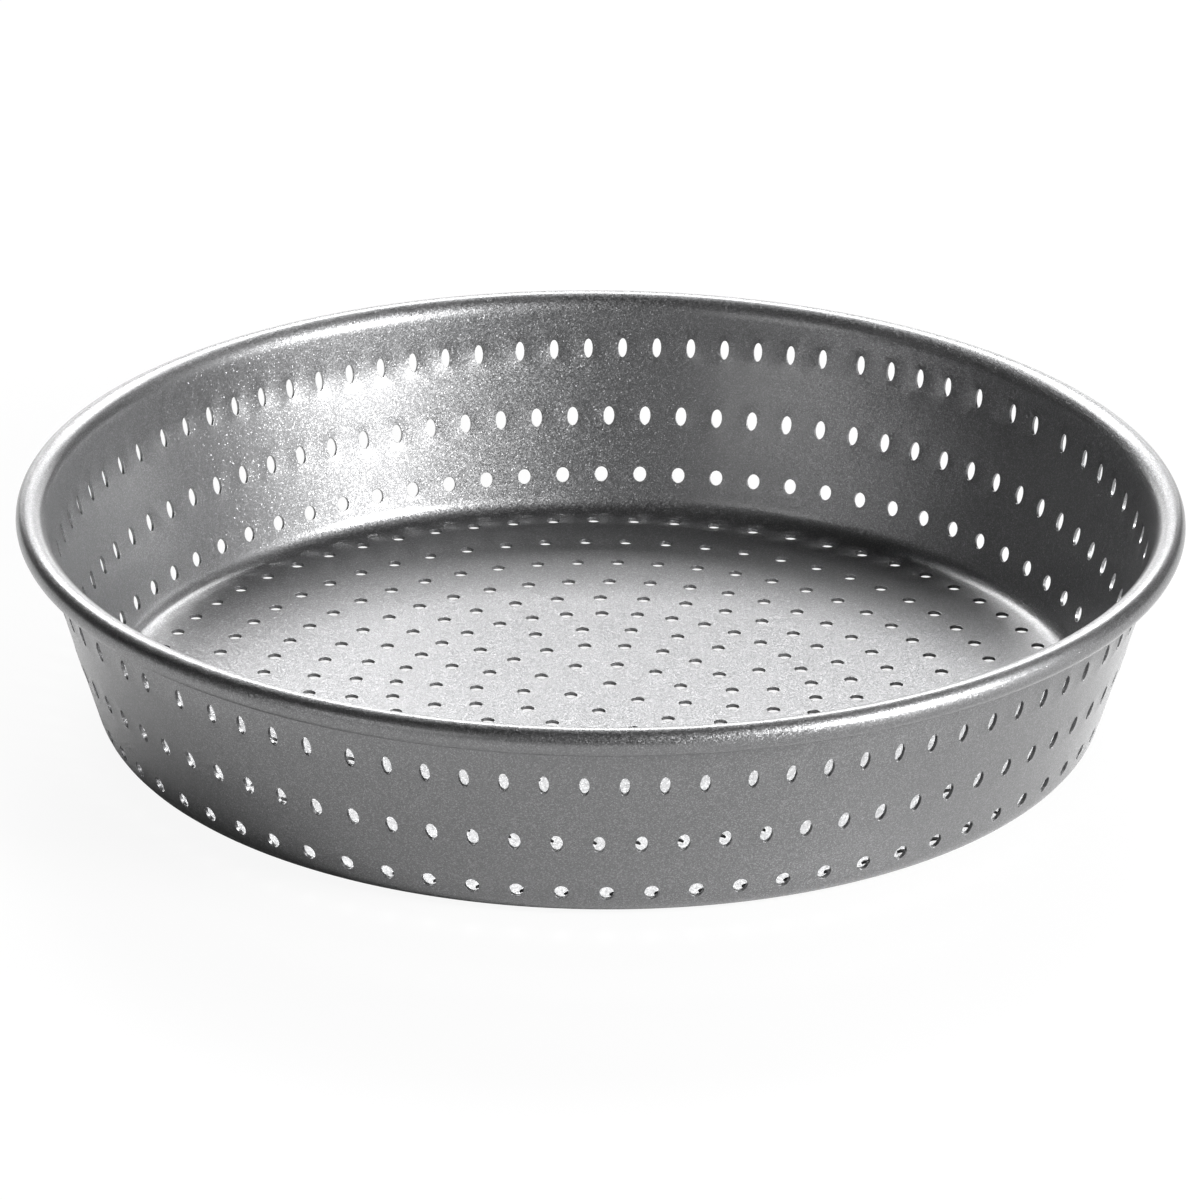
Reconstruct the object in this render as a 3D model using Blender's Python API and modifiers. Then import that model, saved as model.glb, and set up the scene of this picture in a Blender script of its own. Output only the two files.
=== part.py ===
"""Perforated pie pan: one punched and drawn steel sheet with a rolled rim, and the wire hoop inside the roll."""

import math

import bmesh
import bpy
from mathutils import Matrix

# Sizes of the pan in metres. It stands on z = 0 and its axis is +Z.
RIM_RADIUS = 0.120  # axis to the outside of the rolled rim
HEIGHT = 0.0465  # underside of the floor to the top of the rim
FOOT_RADIUS = 0.1025  # axis to where floor and wall would meet in a sharp corner
SHEET = 0.0008  # thickness of the sheet
CORNER_RADIUS = 0.0047  # inside the pan, between floor and wall

# The rolled rim and the wire in it
ROLL_RADIUS = 0.0028  # outside of the roll, in section
ROLL_SWEEP = math.radians(290)  # from the top of the neck round to the raw edge
NECK = 0.0062  # steeper stretch of the wall below the centre of the roll
NECK_STEP = 0.0007  # how far the neck still leans out on its way up
WIRE_CLEARANCE = 0.0003  # between the wire and the sheet rolled round it
WIRE_JOINT = 0.001  # gap between the two butted ends of the hoop

# Holes, punched round in the flat blank. Drawing the wall narrows them along the row and lengthens them up it.
PUNCH_RADIUS = 0.0014
RING_MARGIN = 0.0033  # outermost floor ring to the start of the corner radius
FOOT_MARGIN = 0.0033  # lowest wall row to the end of the corner radius, along the wall
NECK_MARGIN = 0.0041  # highest wall row to the foot of the neck, along the wall
MIDDLE_ROW = 0.463  # place of the middle row between the other two

# Floor rings from the centre out: step from the ring before, in proportion to the other steps, holes in a
# quarter turn, and the gap between two quarters in pitches of the ring.
FLOOR_RINGS = (
    (7.0, 1, 1.0),
    (9.9, 3, 1.0),
    (9.9, 5, 1.0),
    (8.5, 5, 1.39),
    (8.4, 9, 1.12),
    (8.5, 9, 0.89),
    (8.9, 11, 1.0),
    (10.6, 13, 1.0),
    (11.5, 15, 1.0),
    (12.1, 17, 1.0),
)
# Stretch of the holes in each wall row, along the row and up the wall
LOW_STRETCH = (1.07, 1.20)
MIDDLE_STRETCH = (0.90, 1.45)
HIGH_STRETCH = (0.76, 1.52)
LOW_HOLES, MIDDLE_HOLES = 19, 21  # in a quarter turn
# The highest row in a half turn, from the run that is centred on a diagonal: holes in each run, and the wider
# gap after it in pitches
HIGH_RUNS = ((12, 1.22), (10, 1.22), (4, 1.19), (1, 1.40), (2, 1.40), (1, 1.19), (4, 1.22), (10, 1.22))

# Facets of round shapes
ROUND_STEPS = 40
ROLL_STEPS = 6
CORNER_STEPS = 2
WIRE_SIDES = 8
WALL_HOLE_SIDES = 4
FLOOR_HOLE_SIDES = 3
CUTTER_LENGTH = 0.006

# Centre line of the sheet in section, as radius and height
floor_height = SHEET / 2
roll_line = ROLL_RADIUS - SHEET / 2
roll_centre = (RIM_RADIUS - ROLL_RADIUS, HEIGHT - ROLL_RADIUS)
neck_foot = (roll_centre[0] - roll_line - NECK_STEP, roll_centre[1] - NECK)
lean = math.atan2(neck_foot[0] - FOOT_RADIUS, neck_foot[1] - floor_height)
corner_line = CORNER_RADIUS + SHEET / 2
corner_sweep = math.pi / 2 - lean
corner_reach = corner_line * math.tan(corner_sweep / 2)
flat_radius = FOOT_RADIUS - corner_reach


def clear_scene():
    for item in list(bpy.data.objects):
        bpy.data.objects.remove(item, do_unlink=True)


def new_collection(name):
    collection = bpy.data.collections.new(name)
    bpy.context.scene.collection.children.link(collection)
    return collection


def new_object(name, mesh, collection):
    item = bpy.data.objects.new(name, mesh)
    collection.objects.link(item)
    return item


def metal(name, colour, roughness, metallic):
    material = bpy.data.materials.new(name)
    material.use_nodes = True
    shader = material.node_tree.nodes["Principled BSDF"]
    shader.inputs["Base Color"].default_value = (*colour, 1)
    shader.inputs["Roughness"].default_value = roughness
    shader.inputs["Metallic"].default_value = metallic
    return material


def arc(centre, radius, start, sweep, steps):
    """Points on an arc in the section plane, both ends included."""
    angles = [start + sweep * i / steps for i in range(steps + 1)]
    return [(centre[0] + radius * math.cos(a), centre[1] + radius * math.sin(a)) for a in angles]


def sheet_section():
    """Centre line of the sheet, from the raw edge under the roll, over the rim and down to the middle."""
    roll = arc(roll_centre, roll_line, math.pi - ROLL_SWEEP, ROLL_SWEEP, ROLL_STEPS)
    corner_centre = (flat_radius, floor_height + corner_line)
    corner = arc(corner_centre, corner_line, -lean, -corner_sweep, CORNER_STEPS)
    return roll + [neck_foot] + corner + [(0, floor_height)]


def wall_point(distance):
    """Point on the wall's centre line, at a distance up the wall from the end of the corner radius."""
    up = corner_reach + distance
    return FOOT_RADIUS + up * math.sin(lean), floor_height + up * math.cos(lean)


def quarter_runs(holes, gap):
    """Angles of a ring made of four equal runs, each centred on an axis, with the given gap between them."""
    pitch = math.pi / 2 / (holes - 1 + gap)
    run = [pitch * (i - (holes - 1) / 2) for i in range(holes)]
    return [angle + quarter * math.pi / 2 for quarter in range(4) for angle in run]


def high_row_angles():
    """Angles of the highest row: uneven runs that repeat each half turn."""
    pitch = math.pi / sum(holes - 1 + gap for holes, gap in HIGH_RUNS)
    angles = []
    angle = math.pi * 3 / 4 - pitch * (HIGH_RUNS[0][0] - 1) / 2
    for holes, gap in HIGH_RUNS:
        angles += [angle + pitch * i for i in range(holes)]
        angle += pitch * (holes - 1 + gap)
    return angles + [a + math.pi for a in angles]


def add_prisms(bm, sides, angles, radius, height, tilt, stretch):
    """Prisms with the area of the stretched round hole, square to a sheet that leans out by tilt."""
    corner = PUNCH_RADIUS * math.sqrt(2 * math.pi / (sides * math.sin(2 * math.pi / sides)))
    along, up, through = (0, 1, 0), (math.sin(tilt), 0, math.cos(tilt)), (math.cos(tilt), 0, -math.sin(tilt))
    axes = Matrix((along, up, through)).transposed().to_4x4()
    shape = axes @ Matrix.Diagonal((*stretch, 1, 1))
    for angle in angles:
        place = Matrix.Rotation(angle, 4, "Z") @ Matrix.Translation((radius, 0, height)) @ shape
        bmesh.ops.create_cone(
            bm,
            cap_ends=True,
            segments=sides,
            radius1=corner,
            radius2=corner,
            depth=CUTTER_LENGTH,
            matrix=place,
        )


def add_floor_holes(bm):
    """Rings whose steps are scaled together, so that the last one keeps its margin to the corner."""
    scale = (flat_radius - RING_MARGIN) / sum(step for step, _, _ in FLOOR_RINGS)
    radius = 0
    for step, holes, gap in FLOOR_RINGS:
        radius += step * scale
        add_prisms(bm, FLOOR_HOLE_SIDES, quarter_runs(holes, gap), radius, floor_height, math.pi / 2, (1, 1))


def add_wall_holes(bm):
    wall_length = math.hypot(neck_foot[0] - FOOT_RADIUS, neck_foot[1] - floor_height) - corner_reach
    low, high = FOOT_MARGIN, wall_length - NECK_MARGIN
    rows = (
        (low, quarter_runs(LOW_HOLES, 1), LOW_STRETCH),
        (low + MIDDLE_ROW * (high - low), quarter_runs(MIDDLE_HOLES, 1), MIDDLE_STRETCH),
        (high, high_row_angles(), HIGH_STRETCH),
    )
    for distance, angles, stretch in rows:
        radius, height = wall_point(distance)
        add_prisms(bm, WALL_HOLE_SIDES, angles, radius, height, lean, stretch)


def make_punches(collection):
    """All the punches as one cutter."""
    bm = bmesh.new()
    add_floor_holes(bm)
    add_wall_holes(bm)
    mesh = bpy.data.meshes.new("punches")
    bm.to_mesh(mesh)
    bm.free()
    return as_cutter(new_object("punches", mesh, collection))


def as_cutter(item):
    item.hide_render = True
    item.display_type = "WIRE"
    return item


def cut(item, cutter):
    modifier = item.modifiers.new(cutter.name, "BOOLEAN")
    modifier.operation = "DIFFERENCE"
    modifier.object = cutter


def bake(item):
    """Replace the mesh with its evaluated one, shaded smooth except at edges such as those of the holes."""
    graph = bpy.context.evaluated_depsgraph_get()
    mesh = bpy.data.meshes.new_from_object(item.evaluated_get(graph))
    item.modifiers.clear()
    item.data = mesh
    mesh.shade_smooth()
    mesh.set_sharp_from_angle(angle=math.radians(50))


def make_shell(collection, cutters, material):
    """Turn the section round the axis, merge the flat floor into one face, thicken it and punch it."""
    points = sheet_section()
    mesh = bpy.data.meshes.new("pan_shell")
    mesh.from_pydata([(r, 0, z) for r, z in points], [(i, i + 1) for i in range(len(points) - 1)], [])
    shell = new_object("pan_shell", mesh, collection)

    turn = shell.modifiers.new("turn", "SCREW")
    turn.steps = turn.render_steps = ROUND_STEPS
    turn.use_merge_vertices = True
    turn.merge_threshold = 1e-5

    flatten = shell.modifiers.new("flatten floor", "DECIMATE")
    flatten.decimate_type = "DISSOLVE"
    flatten.angle_limit = math.radians(1)

    thicken = shell.modifiers.new("thicken", "SOLIDIFY")
    thicken.thickness = SHEET
    thicken.offset = 0
    thicken.use_even_offset = True

    cut(shell, make_punches(cutters))
    bake(shell)
    shell.data.materials.append(material)
    return shell


def make_wire(collection, cutters, material):
    """Hoop of wire in the middle of the roll, open where its two ends meet."""
    room = roll_line * math.cos(ROLL_SWEEP / ROLL_STEPS / 2) - SHEET / 2
    bpy.ops.mesh.primitive_torus_add(
        major_radius=roll_centre[0],
        minor_radius=room - WIRE_CLEARANCE,
        major_segments=ROUND_STEPS,
        minor_segments=WIRE_SIDES,
        location=(0, 0, roll_centre[1]),
    )
    wire = bpy.context.object
    wire.name = wire.data.name = "rim_wire"
    move_to(wire, collection)

    facet = math.pi / ROUND_STEPS
    middle = roll_centre[0] * math.cos(facet)
    bpy.ops.mesh.primitive_cube_add(size=1, rotation=(0, 0, math.pi + facet))
    joint = bpy.context.object
    joint.name = joint.data.name = "wire_joint"
    joint.location = (-middle * math.cos(facet), -middle * math.sin(facet), roll_centre[1])
    joint.scale = (4 * ROLL_RADIUS, WIRE_JOINT, 4 * ROLL_RADIUS)
    move_to(joint, cutters)

    cut(wire, as_cutter(joint))
    bake(wire)
    wire.data.materials.append(material)
    return wire


def move_to(item, collection):
    for owner in list(item.users_collection):
        owner.objects.unlink(item)
    collection.objects.link(item)


def main():
    clear_scene()
    parts = new_collection("perforated_pie_pan")
    cutters = new_collection("cutters")
    coated_steel = metal("coated_steel", (0.17, 0.17, 0.172), 0.36, 0.85)
    wire_steel = metal("wire_steel", (0.55, 0.55, 0.56), 0.3, 1.0)
    make_shell(parts, cutters, coated_steel)
    make_wire(parts, cutters, wire_steel)


main()
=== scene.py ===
# Looks of the perforated pie pan: the punched shell, the wire in its rim, the table, lamps and camera
import bisect
import functools
import math

import bmesh
import bpy
from mathutils import Matrix, Vector


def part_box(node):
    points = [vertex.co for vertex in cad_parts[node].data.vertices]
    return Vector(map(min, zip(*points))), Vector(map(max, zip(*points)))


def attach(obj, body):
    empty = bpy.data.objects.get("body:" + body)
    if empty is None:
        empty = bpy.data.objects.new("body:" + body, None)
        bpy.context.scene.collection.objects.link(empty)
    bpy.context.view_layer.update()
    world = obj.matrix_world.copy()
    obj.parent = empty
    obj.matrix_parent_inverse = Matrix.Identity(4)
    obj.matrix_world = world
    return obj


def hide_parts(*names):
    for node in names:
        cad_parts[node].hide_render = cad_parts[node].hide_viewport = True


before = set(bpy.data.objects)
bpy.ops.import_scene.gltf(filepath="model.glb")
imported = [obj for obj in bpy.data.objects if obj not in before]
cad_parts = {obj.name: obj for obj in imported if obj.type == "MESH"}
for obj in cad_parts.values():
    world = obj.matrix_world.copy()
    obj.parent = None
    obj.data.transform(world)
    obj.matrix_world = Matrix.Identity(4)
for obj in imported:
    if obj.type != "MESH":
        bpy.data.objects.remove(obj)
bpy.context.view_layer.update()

mm = 0.001
white = (1, 1, 1, 1)
print("frame loaded:", sorted(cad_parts))


# The sheet in section, as in the CAD model, with the wall bowed a little and led softly into the rolled rim
low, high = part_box("pan_shell")
sheet = {
    "rimRadius": high.x - 0.01 * mm,   # a hair inside the CAD rim
    "height": high.z,
    "thickness": 0.8 * mm,
    "footRadius": 102.5 * mm,      # where floor and wall would meet in a sharp corner
    "cornerRadius": 5.1 * mm,      # centre line of the corner
    "rollRadius": 2.8 * mm,        # outside of the rolled rim
    "rollSweep": math.radians(265),
    "throatRadius": 4.6 * mm,      # centre line of the wide bend that leads into the roll
    "throatEnd": math.radians(50), # lean of the sheet where the roll takes over
    "neckLean": math.radians(9),   # of the steeper stretch under the throat
    "neckFoot": 9.2 * mm,          # where the wall gets steeper, under the roll's centre
    "neckRadius": 16 * mm,         # of the shallow bend there
    "bow": 0.1 * mm,               # the wall stands proud of a straight line at its middle
    "steps": 24,                   # of a bend and of the wall; the throat and the roll have twice as many
}


def leaning(lean):                 # from the centre of a bend to where the sheet leans this far
    return Vector((-math.cos(lean), math.sin(lean)))


def makeSheetLine():               # centre line of the sheet from the middle of the floor to the raw edge
    floorHeight = low.z + sheet["thickness"] / 2
    rollLine = sheet["rollRadius"] - sheet["thickness"] / 2
    rollCentre = Vector((sheet["rimRadius"] - sheet["rollRadius"], sheet["height"] - sheet["rollRadius"]))
    throatCentre = rollCentre + (rollLine - sheet["throatRadius"]) * leaning(sheet["throatEnd"])
    neckTop = throatCentre + sheet["throatRadius"] * leaning(sheet["neckLean"])
    fall = neckTop.y - rollCentre.y + sheet["neckFoot"]
    neckFoot = neckTop - Vector((fall * math.tan(sheet["neckLean"]), fall))
    foot = Vector((sheet["footRadius"], floorHeight))
    line = [Vector((0, floorHeight))]
    marks = []

    bends = (
        (line[0], foot, neckFoot, sheet["cornerRadius"]),
        (foot, neckFoot, neckTop, sheet["neckRadius"]),
    )
    for before, corner, after, radius in bends:
        inward, outward = (before - corner).normalized(), (after - corner).normalized()
        half = inward.angle(outward) / 2
        middle = corner + (inward + outward).normalized() * radius / math.sin(half)
        start = corner + inward * radius / math.tan(half)
        finish = corner + outward * radius / math.tan(half)
        if corner == neckFoot:
            wallFoot, wallRun = line[-1], start - line[-1]
            for i in range(1, sheet["steps"]):
                up = i / sheet["steps"]        # 4 * up * (1 - up) is 1 halfway
                line.append(wallFoot + wallRun * up + Vector((sheet["bow"] * 4 * up * (1 - up), 0)))
        marks.append(len(line))
        for i in range(sheet["steps"] + 1):
            arm = (start - middle).normalized().slerp((finish - middle).normalized(), i / sheet["steps"])
            line.append(middle + radius * arm)
        marks.append(len(line) - 1)

    rolls = (
        (throatCentre, sheet["throatRadius"], sheet["neckLean"], sheet["throatEnd"]),
        (rollCentre, rollLine, sheet["throatEnd"], sheet["throatEnd"] + sheet["rollSweep"]),
    )
    steps = 2 * sheet["steps"]
    for middle, radius, start, finish in rolls:
        marks.append(len(line))
        for i in range(steps + 1):
            line.append(middle + radius * leaning(start + (finish - start) * i / steps))

    lengths = [0.0]
    for a, b in zip(line, line[1:]):
        lengths.append(lengths[-1] + (b - a).length)
    return line, lengths, [lengths[i] for i in marks]


sheetLine, sheetLengths, (flatEnd, wallStart, neckStart, neckEnd, throatStart, rollStart) = makeSheetLine()
sheetEnd = sheetLengths[-1]


def onSheet(angle, distance, outward=0.0):     # a place round the pan and along the sheet, in space
    i = min(max(bisect.bisect(sheetLengths, distance) - 1, 0), len(sheetLine) - 2)
    along = (distance - sheetLengths[i]) / (sheetLengths[i + 1] - sheetLengths[i])
    point = sheetLine[i].lerp(sheetLine[i + 1], along)
    run = (sheetLine[i + 1] - sheetLine[i]).normalized()
    point = point + outward * Vector((run.y, -run.x))
    return Vector((point.x * math.cos(angle), point.x * math.sin(angle), point.y))


# The punched pattern. The blank lay a little off centre in the die, so the floor rings and wall rows drift,
# and the drawn wall stretched most at two opposite places, which lifts its rows there.
holes = {
    "floorPunch": 1.36 * mm,       # radius
    "wallPunch": 1.4 * mm,
    "sides": 16,
    "ringMargin": 2.9 * mm,        # last floor ring to the corner
    "footMargin": 3.3 * mm,        # lowest wall row to the corner
    "neckMargin": 1.0 * mm,        # highest wall row to where the wall gets steeper
    "middleRow": 0.463,            # between the lowest and the highest
    "floorShift": (1.54 * mm, math.radians(54)),   # how far and which way the floor rings lie off centre
    "rowShift": (2.6 * mm, math.radians(79)),      # the same for the wall rows, which only slide round
    "rowTilt": (1.8 * mm, math.radians(60)),       # and how far they rise there
    "rowDrop": 0.23 * mm,          # all round
    "crown": 2.5 * mm,             # top of the highest holes, from their middle
    "collar": 1.5 * mm,            # edge of their band to the throat, once it is drawn
    "liftPlaces": (math.radians(58.2), math.radians(233.5)),
    "liftSpread": math.radians(20.4),
    "lip": 0.1 * mm,               # rounding of the edges
}
floorRings = (                     # step, holes in a quarter, gap between two quarters in pitches
    (7.0, 1, 1.0), (9.9, 3, 1.0), (9.9, 5, 1.0), (8.5, 5, 1.39), (8.4, 9, 1.12),
    (8.5, 9, 0.89), (8.9, 11, 1.0), (10.6, 13, 1.0), (11.5, 15, 1.0), (12.1, 17, 1.0),
)
# From the lowest row up: holes in a quarter, their stretch along and up, the depth of the dimple round each,
# how far the row is turned, in degrees, and lifted at the two places. The highest has the runs below it.
wallRows = (
    {
        "holes": 19, "stretch": (1.03, 1.18), "dimple": 0.04 * mm,
        "turn": 0.03, "lifts": (0.69 * mm, 1.25 * mm),
    },
    {
        "holes": 21, "stretch": (0.87, 1.45), "dimple": 0.11 * mm,
        "turn": 0.09, "lifts": (1.41 * mm, 1.63 * mm),
    },
    {
        "holes": None, "stretch": (0.71, 1.53), "dimple": 0.19 * mm,
        "turn": 0.18, "lifts": (2.33 * mm, 2.56 * mm),
    },
)
highRuns = (                       # in half a turn: holes, and the gap after them in pitches
    (12, 1.22), (10, 1.22), (4, 1.19), (1, 1.40), (2, 1.40), (1, 1.19), (4, 1.22), (10, 1.22),
)
grid = {                           # how the sheet round the holes is divided into faces
    "ringReach": 2.5 * mm,         # from a floor ring, or down from the lowest row, to the edge of its band
    "lastReach": 1.9 * mm,         # from the last floor ring towards the corner
    "rowReach": 4.6 * mm,          # from a wall row to the edge of its band
    "highReach": 3.6 * mm,         # from the highest row up to the edge of its band
    "dimpleRings": (0.6, 0.25, 0.0),   # round a wall hole, from its cell's border, 1, to its edge, 0
    "plainRings": (0.0,),          # and round a floor hole
    "inset": 0.05 * mm,            # of each ring, before it is put in its place
    "atEdge": 0.99,                # share of the reach past which an edge is on the band's edge
    "weld": 0.001 * mm,
    "cornerRings": 10,
    "throatRings": 6,
    "rollRings": 18,
    "sharp": math.radians(60),     # edges sharper than this are rounded
}


def quarterRuns(count, gap):
    pitch = math.pi / 2 / (count - 1 + gap)
    run = [pitch * (i - (count - 1) / 2) for i in range(count)]
    return [angle + quarter * math.pi / 2 for quarter in range(4) for angle in run]


def highRowAngles():               # uneven runs from the one that is centred on a diagonal, twice round
    pitch = math.pi / sum(count - 1 + gap for count, gap in highRuns)
    angle = math.pi * 3 / 4 - pitch * (highRuns[0][0] - 1) / 2
    angles = []
    for count, gap in highRuns:
        angles += [angle + pitch * i for i in range(count)]
        angle += pitch * (count - 1 + gap)
    return angles + [a + math.pi for a in angles]


def floorDrift(angle, distance):   # the floor rings move sideways as one
    size, towards = holes["floorShift"]
    x = distance * math.cos(angle) + size * math.cos(towards)
    y = distance * math.sin(angle) + size * math.sin(towards)
    return math.atan2(y, x), math.hypot(x, y)


def rowPlaces():                   # distances of the wall rows along the sheet, before they drift
    lowest = wallStart + holes["footMargin"]
    highest = (neckStart + neckEnd) / 2 - holes["neckMargin"]
    return lowest, lowest + holes["middleRow"] * (highest - lowest), highest


lowPlace, middlePlace, highPlace = rowPlaces()
collar = throatStart - holes["collar"]


def rowRise(row, angle):
    tilt, tiltTowards = holes["rowTilt"]
    rise = tilt * math.cos(angle - tiltTowards) - holes["rowDrop"]
    for place, lift in zip(holes["liftPlaces"], row["lifts"]):
        away = math.remainder(angle - place, 2 * math.pi) / holes["liftSpread"]
        rise += lift * math.exp(-away ** 2 / 2)
    return rise


def wallDrift(row, angle, distance):           # a wall row slides round and rises, up to the collar
    shift, shiftTowards = holes["rowShift"]
    turn = math.radians(row["turn"]) - shift * math.sin(angle - shiftTowards) / sheet["footRadius"]
    free = min(distance, highPlace + holes["crown"])
    along = free + rowRise(row, angle)
    along += (collar - along) * (distance - free) / (grid["highReach"] - holes["crown"])
    return angle + turn, along


def punchedBand(number, angles, distance, reach, punch, stretch, rings, dimple, drift):
    # a flat strip with one cell for each hole, then rings from the cell to the hole, then bent to the pan
    count = len(angles)
    radius = onSheet(0, distance).x
    half = 0.5                     # of the strip as it is made, before it gets its length
    bm = bmesh.new()
    border = bm.edges.layers.int.new("border")     # twice the band's number, and one more on its rim side
    bmesh.ops.create_grid(bm, x_segments=count, y_segments=1, size=half)
    cells = sorted(bm.faces, key=lambda f: f.calc_center_median().x)
    around = [angles[-1] - 2 * math.pi] + angles + [angles[0] + 2 * math.pi]
    between = [(a + b) / 2 for a, b in zip(around, around[1:])]
    for v in bm.verts:
        column = round((v.co.x + half) * count)
        v.co = Vector((between[column] * radius, distance + (reach[1] if v.co.y > 0 else -reach[0]), 0))
    # the four edges of a cell share the sides of its hole
    bmesh.ops.bisect_edges(bm, edges=bm.edges, cuts=holes["sides"] // 4 - 1)

    outlines = []
    step = 2 * math.pi / holes["sides"]
    for cell, angle in zip(cells, angles):
        corners = [loop.vert.co.copy() for loop in cell.loops]
        middle = (Vector(map(min, zip(*corners))) + Vector(map(max, zip(*corners)))) / 2
        side = Vector(map(max, zip(*corners))) - middle
        centre = Vector((angle * radius, distance, 0))
        edge = []
        for corner in corners:
            away = math.atan2((corner.y - middle.y) / side.y, (corner.x - middle.x) / side.x)
            away = round(away / step) * step
            edge.append(centre + Vector((
                punch * stretch[0] * math.cos(away), punch * stretch[1] * math.sin(away), 0)))
        outlines.append((corners, edge))
    depth = {}
    for ring in rings:
        bmesh.ops.inset_individual(bm, faces=cells, thickness=grid["inset"])
        for cell, (corners, edge) in zip(cells, outlines):
            for loop, corner, rim in zip(cell.loops, corners, edge):
                loop.vert.co = rim.lerp(corner, ring)
                depth[loop.vert] = dimple * (1 - ring) ** 2
    bmesh.ops.delete(bm, geom=cells, context="FACES_ONLY")

    for e in (e for e in bm.edges if e.is_boundary):
        heights = [v.co.y - distance for v in e.verts]
        if max(heights) < -grid["atEdge"] * reach[0]:
            e[border] = 2 * number
        elif min(heights) > grid["atEdge"] * reach[1]:
            e[border] = 2 * number + 1
    for v in bm.verts:
        angle, along = drift(v.co.x / radius, v.co.y)
        v.co = onSheet(angle, along, depth.get(v, 0.0))
    bmesh.ops.remove_doubles(bm, verts=bm.verts, dist=grid["weld"])
    mesh = bpy.data.meshes.new("band")
    bm.to_mesh(mesh)
    bm.free()
    return mesh


def punchFloor():                  # a band for each ring of the floor
    bands = []
    scale = (flatEnd - holes["ringMargin"]) / sum(step for step, _, _ in floorRings)
    distance = 0.0
    for number, (step, count, gap) in enumerate(floorRings, 1):
        distance += step * scale
        outer = grid["lastReach"] if number == len(floorRings) else grid["ringReach"]
        bands.append(punchedBand(
            number, quarterRuns(count, gap), distance, (grid["ringReach"], outer), holes["floorPunch"],
            (1, 1), grid["plainRings"], 0.0, floorDrift))
    print("floor rings punched")
    return bands


def punchWall():                   # and for each row of the wall
    bands = []
    reaches = (
        (grid["ringReach"], grid["rowReach"]),
        (grid["rowReach"], grid["rowReach"]),
        (grid["rowReach"], grid["highReach"]),
    )
    places = zip(wallRows, (lowPlace, middlePlace, highPlace), reaches)
    for number, (row, distance, reach) in enumerate(places, len(floorRings) + 1):
        angles = quarterRuns(row["holes"], 1) if row["holes"] else highRowAngles()
        bands.append(punchedBand(
            number, angles, distance, reach, holes["wallPunch"],
            row["stretch"], grid["dimpleRings"], row["dimple"], functools.partial(wallDrift, row)))
    print("wall rows punched")
    return bands


def innerBorder(bm, number):       # the border of a band on the side of the floor's middle
    border = bm.edges.layers.int["border"]
    return [e for e in bm.edges if e.is_boundary and e[border] == 2 * number]


def outerBorder(bm, number):       # and on the side of the rim
    border = bm.edges.layers.int["border"]
    return [e for e in bm.edges if e.is_boundary and e[border] == 2 * number + 1]


def sweepBorder(bm, edges, stations):          # pull a border along the sheet, ring after ring
    for station in stations:
        made = bmesh.ops.extrude_edge_only(bm, edges=edges)["geom"]
        for v in (item for item in made if isinstance(item, bmesh.types.BMVert)):
            angle = math.atan2(v.co.y, v.co.x)
            v.co = onSheet(angle, station(angle))
        edges = [item for item in made if isinstance(item, bmesh.types.BMEdge) and item.is_boundary]
    return edges


def cornerStation(ring):           # where a ring of the corner lies, between the lowest row and the floor
    shift, shiftTowards = holes["floorShift"]

    def station(angle):
        top = lowPlace - grid["ringReach"] + rowRise(wallRows[0], angle)
        bottom = flatEnd - holes["ringMargin"] + grid["lastReach"] + shift * math.cos(angle - shiftTowards)
        return top + (bottom - top) * ring / grid["cornerRings"]
    return station


def joinBands(bands):              # all the bands and the plain sheet between and beyond them
    bm = bmesh.new()
    for band in bands:
        bm.from_mesh(band)
        bpy.data.meshes.remove(band)

    lastRing = len(floorRings)
    for number in range(1, len(bands)):
        if number != lastRing:
            bmesh.ops.bridge_loops(bm, edges=outerBorder(bm, number) + innerBorder(bm, number + 1))
    bmesh.ops.contextual_create(bm, geom=innerBorder(bm, 1))

    ringEdge, rowEdge = outerBorder(bm, lastRing), innerBorder(bm, lastRing + 1)
    loose = sweepBorder(bm, rowEdge, [cornerStation(i) for i in range(1, grid["cornerRings"])])
    bmesh.ops.bridge_loops(bm, edges=loose + ringEdge)
    print("corner drawn")

    throat, roll = grid["throatRings"], grid["rollRings"]
    stations = [throatStart + (rollStart - throatStart) * i / throat for i in range(throat)]
    stations += [rollStart + (sheetEnd - rollStart) * i / roll for i in range(roll + 1)]
    sweepBorder(bm, outerBorder(bm, len(bands)), [lambda angle, s=s: s for s in stations])
    bmesh.ops.recalc_face_normals(bm, faces=bm.faces)
    mesh = bpy.data.meshes.new("punchedShell")
    bm.to_mesh(mesh)
    bm.free()
    return mesh


def makeShell():
    mesh = joinBands(punchFloor() + punchWall())
    shell = bpy.data.objects.new("punched_shell", mesh)
    bpy.context.scene.collection.objects.link(shell)
    mesh.shade_smooth()

    thicken = shell.modifiers.new("thicken", "SOLIDIFY")
    thicken.thickness = sheet["thickness"]
    thicken.offset = 0
    thicken.use_even_offset = True
    soften = shell.modifiers.new("soften edges", "BEVEL")
    soften.width = holes["lip"]
    soften.segments = 1
    soften.limit_method = "ANGLE"
    soften.angle_limit = grid["sharp"]
    soften.harden_normals = True
    print("shell drawn and rolled:", len(mesh.polygons), "faces before it gets its thickness")
    return shell


class Signal:                      # a socket that takes part in plain arithmetic
    def __init__(self, bench, socket):
        self.bench, self.socket = bench, socket

    def maths(self, operation, first, second):
        return self.bench.add("ShaderNodeMath", {"operation": operation}, {0: first, 1: second})

    def __add__(self, other):
        return self.maths("ADD", self, other)

    def __sub__(self, other):
        return self.maths("SUBTRACT", self, other)

    def __rsub__(self, other):
        return self.maths("SUBTRACT", other, self)

    def __mul__(self, other):
        return self.maths("MULTIPLY", self, other)

    def __pow__(self, other):
        return self.maths("POWER", self, other)

    __radd__ = __add__
    __rmul__ = __mul__


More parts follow.
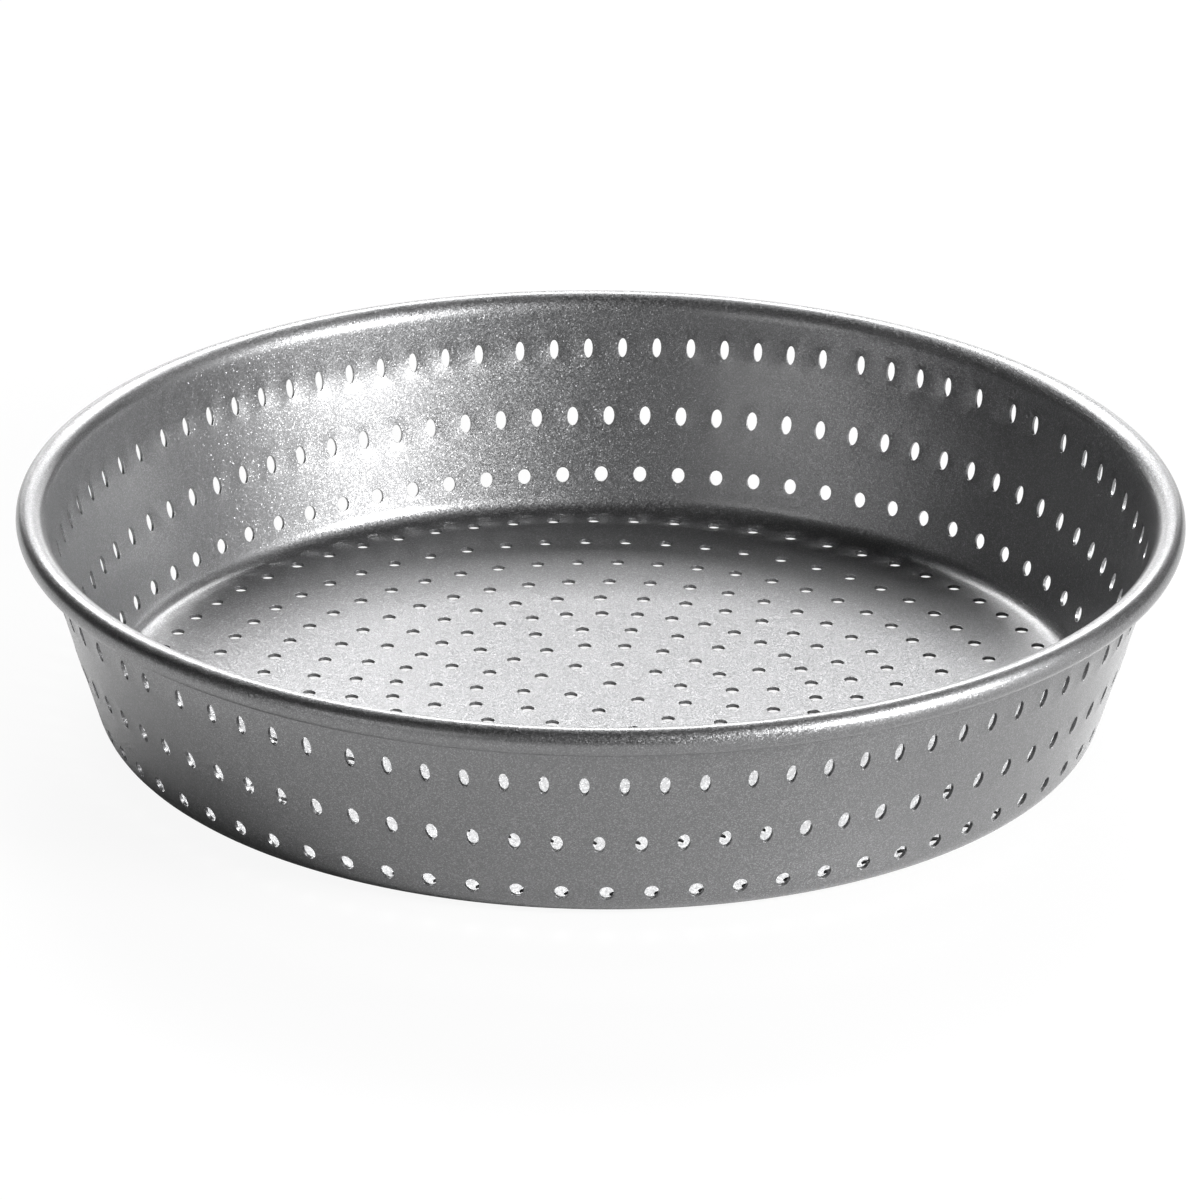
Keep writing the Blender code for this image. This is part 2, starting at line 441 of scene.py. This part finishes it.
class Bench:                       # where the nodes of one material are put together
    def __init__(self, tree):
        self.tree = tree
        tree.nodes.clear()

    def add(self, kind, settings=None, sockets=None, output=0):
        node = self.tree.nodes.new(kind)
        for name, value in (settings or {}).items():
            setattr(node, name, value)
        for name, value in (sockets or {}).items():
            if isinstance(value, Signal):
                self.tree.links.new(value.socket, node.inputs[name])
            else:
                node.inputs[name].default_value = value
        return Signal(self, node.outputs[output]) if node.outputs else node

    def noise(self, place, size, detail):
        return self.add("ShaderNodeTexNoise", sockets={
            "Vector": place, "Scale": 1 / size, "Detail": detail})

    def rays(self):                # seen by the camera, in a reflection, and through something clear
        kinds = ("Is Camera Ray", "Is Glossy Ray", "Is Transmission Ray")
        return [self.add("ShaderNodeLightPath", output=kind) for kind in kinds]

    def finish(self, kind, surface):
        self.add(kind, sockets={"Surface": surface})


def newMaterial(name):
    material = bpy.data.materials.new(name)
    material.use_nodes = True
    return material, Bench(material.node_tree)


halfway = 0.5                      # middle of what the textures give

coating = {
    "dark": (0.190, 0.191, 0.194, 1),
    "pale": (0.320, 0.320, 0.324, 1),
    "paleFew": 3.0,                # the higher, the fewer flecks are pale
    "roughness": 0.47,
    "mixed": 0.26,                 # between the smoothest and the roughest flecks
    "coat": 0.85,                  # clear binder over the flecks
    "coatRoughness": 0.22,
    "fleck": 0.2 * mm,             # size of the metallic flecks
    "tilt": 0.15,                  # how far a fleck leans, and how much further a few of them do
    "sparkle": 0.35,
    "sparkleFew": 8.0,             # the higher, the fewer they are
    "grain": 0.9 * mm,             # soft orange peel of the spray coat: its size, finer detail and height
    "grainDetail": 2.0,
    "grainHeight": 0.012 * mm,
    "sway": 38 * mm,               # slow unevenness of the drawn sheet: its size, finer detail and strength
    "swayDetail": 3.0,
    "swayed": 0.08,
}


def makeCoating():
    material, bench = newMaterial("dark grey non-stick coating")
    place = bench.add("ShaderNodeTexCoord", output="Object")
    fleck = bench.add("ShaderNodeTexVoronoi", sockets={
        "Vector": place, "Scale": 1 / coating["fleck"]}, output="Color")
    shade, grit, glint = (
        bench.add("ShaderNodeSeparateColor", sockets={"Color": fleck}, output=channel)
        for channel in range(3))
    colour = bench.add("ShaderNodeMix", {"data_type": "RGBA"}, {
        "Factor": shade ** coating["paleFew"], 6: coating["dark"], 7: coating["pale"]}, output=2)

    # each fleck lies at its own small tilt
    tilt = bench.add("ShaderNodeVectorMath", {"operation": "SUBTRACT"}, {0: fleck, 1: (halfway,) * 3})
    tilt = bench.add("ShaderNodeVectorMath", {"operation": "SCALE"}, {
        0: tilt, "Scale": coating["tilt"] + coating["sparkle"] * glint ** coating["sparkleFew"]})
    facing = bench.add("ShaderNodeNewGeometry", output="Normal")
    leant = bench.add("ShaderNodeVectorMath", {"operation": "ADD"}, {0: facing, 1: tilt})
    leant = bench.add("ShaderNodeVectorMath", {"operation": "NORMALIZE"}, {0: leant})
    peel = bench.noise(place, coating["grain"], coating["grainDetail"])
    normal = bench.add("ShaderNodeBump", sockets={
        "Height": peel, "Distance": coating["grainHeight"], "Normal": leant})

    smudge = bench.noise(place, coating["sway"], coating["swayDetail"])
    roughness = coating["roughness"] + coating["mixed"] * (grit - halfway)
    roughness = roughness + coating["swayed"] * (smudge - halfway)
    surface = bench.add("ShaderNodeBsdfPrincipled", sockets={
        "Base Color": colour, "Roughness": roughness, "Metallic": 1.0, "Normal": normal,
        "Coat Weight": coating["coat"], "Coat Roughness": coating["coatRoughness"]})
    bench.finish("ShaderNodeOutputMaterial", surface)
    return material


drawnWire = {
    "dark": (0.42, 0.42, 0.43, 1),
    "pale": (0.62, 0.62, 0.63, 1),
    "roughness": 0.25,
    "rougher": 0.15,               # where the streaks are palest
    "streak": 0.5 * mm,            # size of the streaks, their finer detail and height
    "streakDetail": 2.0,
    "streakHeight": 0.01 * mm,
}


def makeWireSteel():
    material, bench = newMaterial("drawn wire")
    place = bench.add("ShaderNodeTexCoord", output="Object")
    streak = bench.noise(place, drawnWire["streak"], drawnWire["streakDetail"])
    colour = bench.add("ShaderNodeMix", {"data_type": "RGBA"}, {
        "Factor": streak, 6: drawnWire["dark"], 7: drawnWire["pale"]}, output=2)
    normal = bench.add("ShaderNodeBump", sockets={"Height": streak, "Distance": drawnWire["streakHeight"]})
    surface = bench.add("ShaderNodeBsdfPrincipled", sockets={
        "Base Color": colour, "Roughness": drawnWire["roughness"] + drawnWire["rougher"] * streak,
        "Metallic": 1.0, "Normal": normal})
    bench.finish("ShaderNodeOutputMaterial", surface)
    return material


table = {
    "size": 6.0,
    "colour": (0.74, 0.74, 0.74, 1),
    "roughness": 0.35,
    "shown": 0.92,                 # how much of it is plain white to the camera, and in reflections
    "mirrored": 0.9,
    "paintedShadow": (106 * mm, 150 * mm),   # painted shadow round the pan: reflections find its glow darker from the outer one of these inwards
}


def makeTable():
    bm = bmesh.new()
    bmesh.ops.create_grid(bm, x_segments=1, y_segments=1, size=table["size"] / 2)
    mesh = bpy.data.meshes.new("table")
    bm.to_mesh(mesh)
    bm.free()
    floor = bpy.data.objects.new("table", mesh)
    bpy.context.scene.collection.objects.link(floor)
    material, bench = newMaterial("white table")
    plain = bench.add("ShaderNodeBsdfPrincipled", sockets={
        "Base Color": table["colour"], "Roughness": table["roughness"]})
    bright = bench.add("ShaderNodeEmission", sockets={"Color": white, "Strength": 1.0})
    eye, glossy, through = bench.rays()
    place = bench.add("ShaderNodeNewGeometry", output="Position")
    # painted shadow: the white glow that reflections see fades out towards the pan, standing in for the
    # pan's shadow on the table
    away = bench.add("ShaderNodeVectorMath", {"operation": "LENGTH"}, {0: place}, output="Value")
    clear = bench.add("ShaderNodeMapRange", sockets={
        "Value": away, "From Min": table["paintedShadow"][0], "From Max": table["paintedShadow"][1]})
    mixed = bench.add("ShaderNodeMixShader", sockets={
        0: table["shown"] * eye + table["mirrored"] * clear * (glossy + through), 1: plain, 2: bright})
    bench.finish("ShaderNodeOutputMaterial", mixed)
    mesh.materials.append(material)
    print("table laid")


camera = {
    "azimuth": math.radians(9.02), # from the front to the right
    "elevation": math.radians(22.53),
    "distance": 1643.7 * mm,
    "lens": 240.0,
    "sensor": 36.0,
    "clip": (0.05, 50),
    "roll": math.radians(0.504),
    "middle": 43.9 * mm,           # what it turns round, on the axis of the pan
    "drop": 20.7 * mm,             # aim below that
}


def makeCamera():
    data = bpy.data.cameras.new("camera")
    data.lens = camera["lens"]
    data.sensor_width = camera["sensor"]
    data.clip_start, data.clip_end = camera["clip"]
    eye = bpy.data.objects.new("camera", data)
    bpy.context.scene.collection.objects.link(eye)
    middle = Vector((0, 0, camera["middle"]))
    back = Vector((
        math.sin(camera["azimuth"]) * math.cos(camera["elevation"]),
        -math.cos(camera["azimuth"]) * math.cos(camera["elevation"]),
        math.sin(camera["elevation"]),
    ))
    eye.location = middle + back * camera["distance"]
    aim = middle - Vector((0, 0, camera["drop"]))
    turn = (aim - eye.location).to_track_quat("-Z", "Y").to_matrix().to_4x4()
    eye.matrix_world = Matrix.Translation(eye.location) @ turn @ Matrix.Rotation(camera["roll"], 4, "Z")
    bpy.context.scene.camera = eye
    print("camera placed")


# Degrees round from the camera's right, degrees up, distance, width and height, and brightness
lamps = {
    "right softbox": (-33, 26, 0.8, (0.28, 0.32), 39.5),
    "back softbox": (92, 40, 0.7, (0.8, 0.2), 12.4),
    "low back softbox": (92, 7, 1.4, (1.6, 0.3), 2.1),
    "front left softbox": (228, 18, 1.4, (0.8, 0.6), 1.7),
}


def makeLamps():
    middle = Vector((0, 0, sheet["height"] / 2))
    for name, (aside, up, distance, size, brightness) in lamps.items():
        data = bpy.data.lights.new(name, "AREA")
        data.shape = "RECTANGLE"
        data.size, data.size_y = size
        data.energy = brightness * math.pi * data.size * data.size_y
        box = bpy.data.objects.new(name, data)
        bpy.context.scene.collection.objects.link(box)
        azimuth = math.radians(aside) + camera["azimuth"]
        elevation = math.radians(up)
        away = Vector((
            math.cos(azimuth) * math.cos(elevation),
            math.sin(azimuth) * math.cos(elevation),
            math.sin(elevation),
        ))
        box.location = middle + away * distance
        box.rotation_mode = "QUATERNION"
        box.rotation_quaternion = away.to_track_quat("Z", "Y")
    print("lamps hung")


sky = {
    "level": 0.01,                 # to everything but the camera, which finds it white
}


def makeWorld():
    world = bpy.data.worlds.new("studio")
    world.use_nodes = True
    bpy.context.scene.world = world
    bench = Bench(world.node_tree)
    soft = bench.add("ShaderNodeBackground", sockets={"Color": white, "Strength": sky["level"]})
    shown = bench.add("ShaderNodeBackground", sockets={"Color": white, "Strength": 1.0})
    eye, glossy, through = bench.rays()
    whole = bench.add("ShaderNodeMixShader", sockets={
        0: eye + sky["level"] * (glossy + through), 1: soft, 2: shown})
    bench.finish("ShaderNodeOutputWorld", whole)
    print("studio lit")


shell = makeShell()
shell.data.materials.append(makeCoating())
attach(shell, "root")
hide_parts("pan_shell")

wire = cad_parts["rim_wire"]
wire.data.materials.clear()
wire.data.materials.append(makeWireSteel())
print("shell coated, wire drawn")

makeTable()
makeLamps()
makeWorld()
makeCamera()
bpy.context.scene.view_settings.view_transform = "Standard"
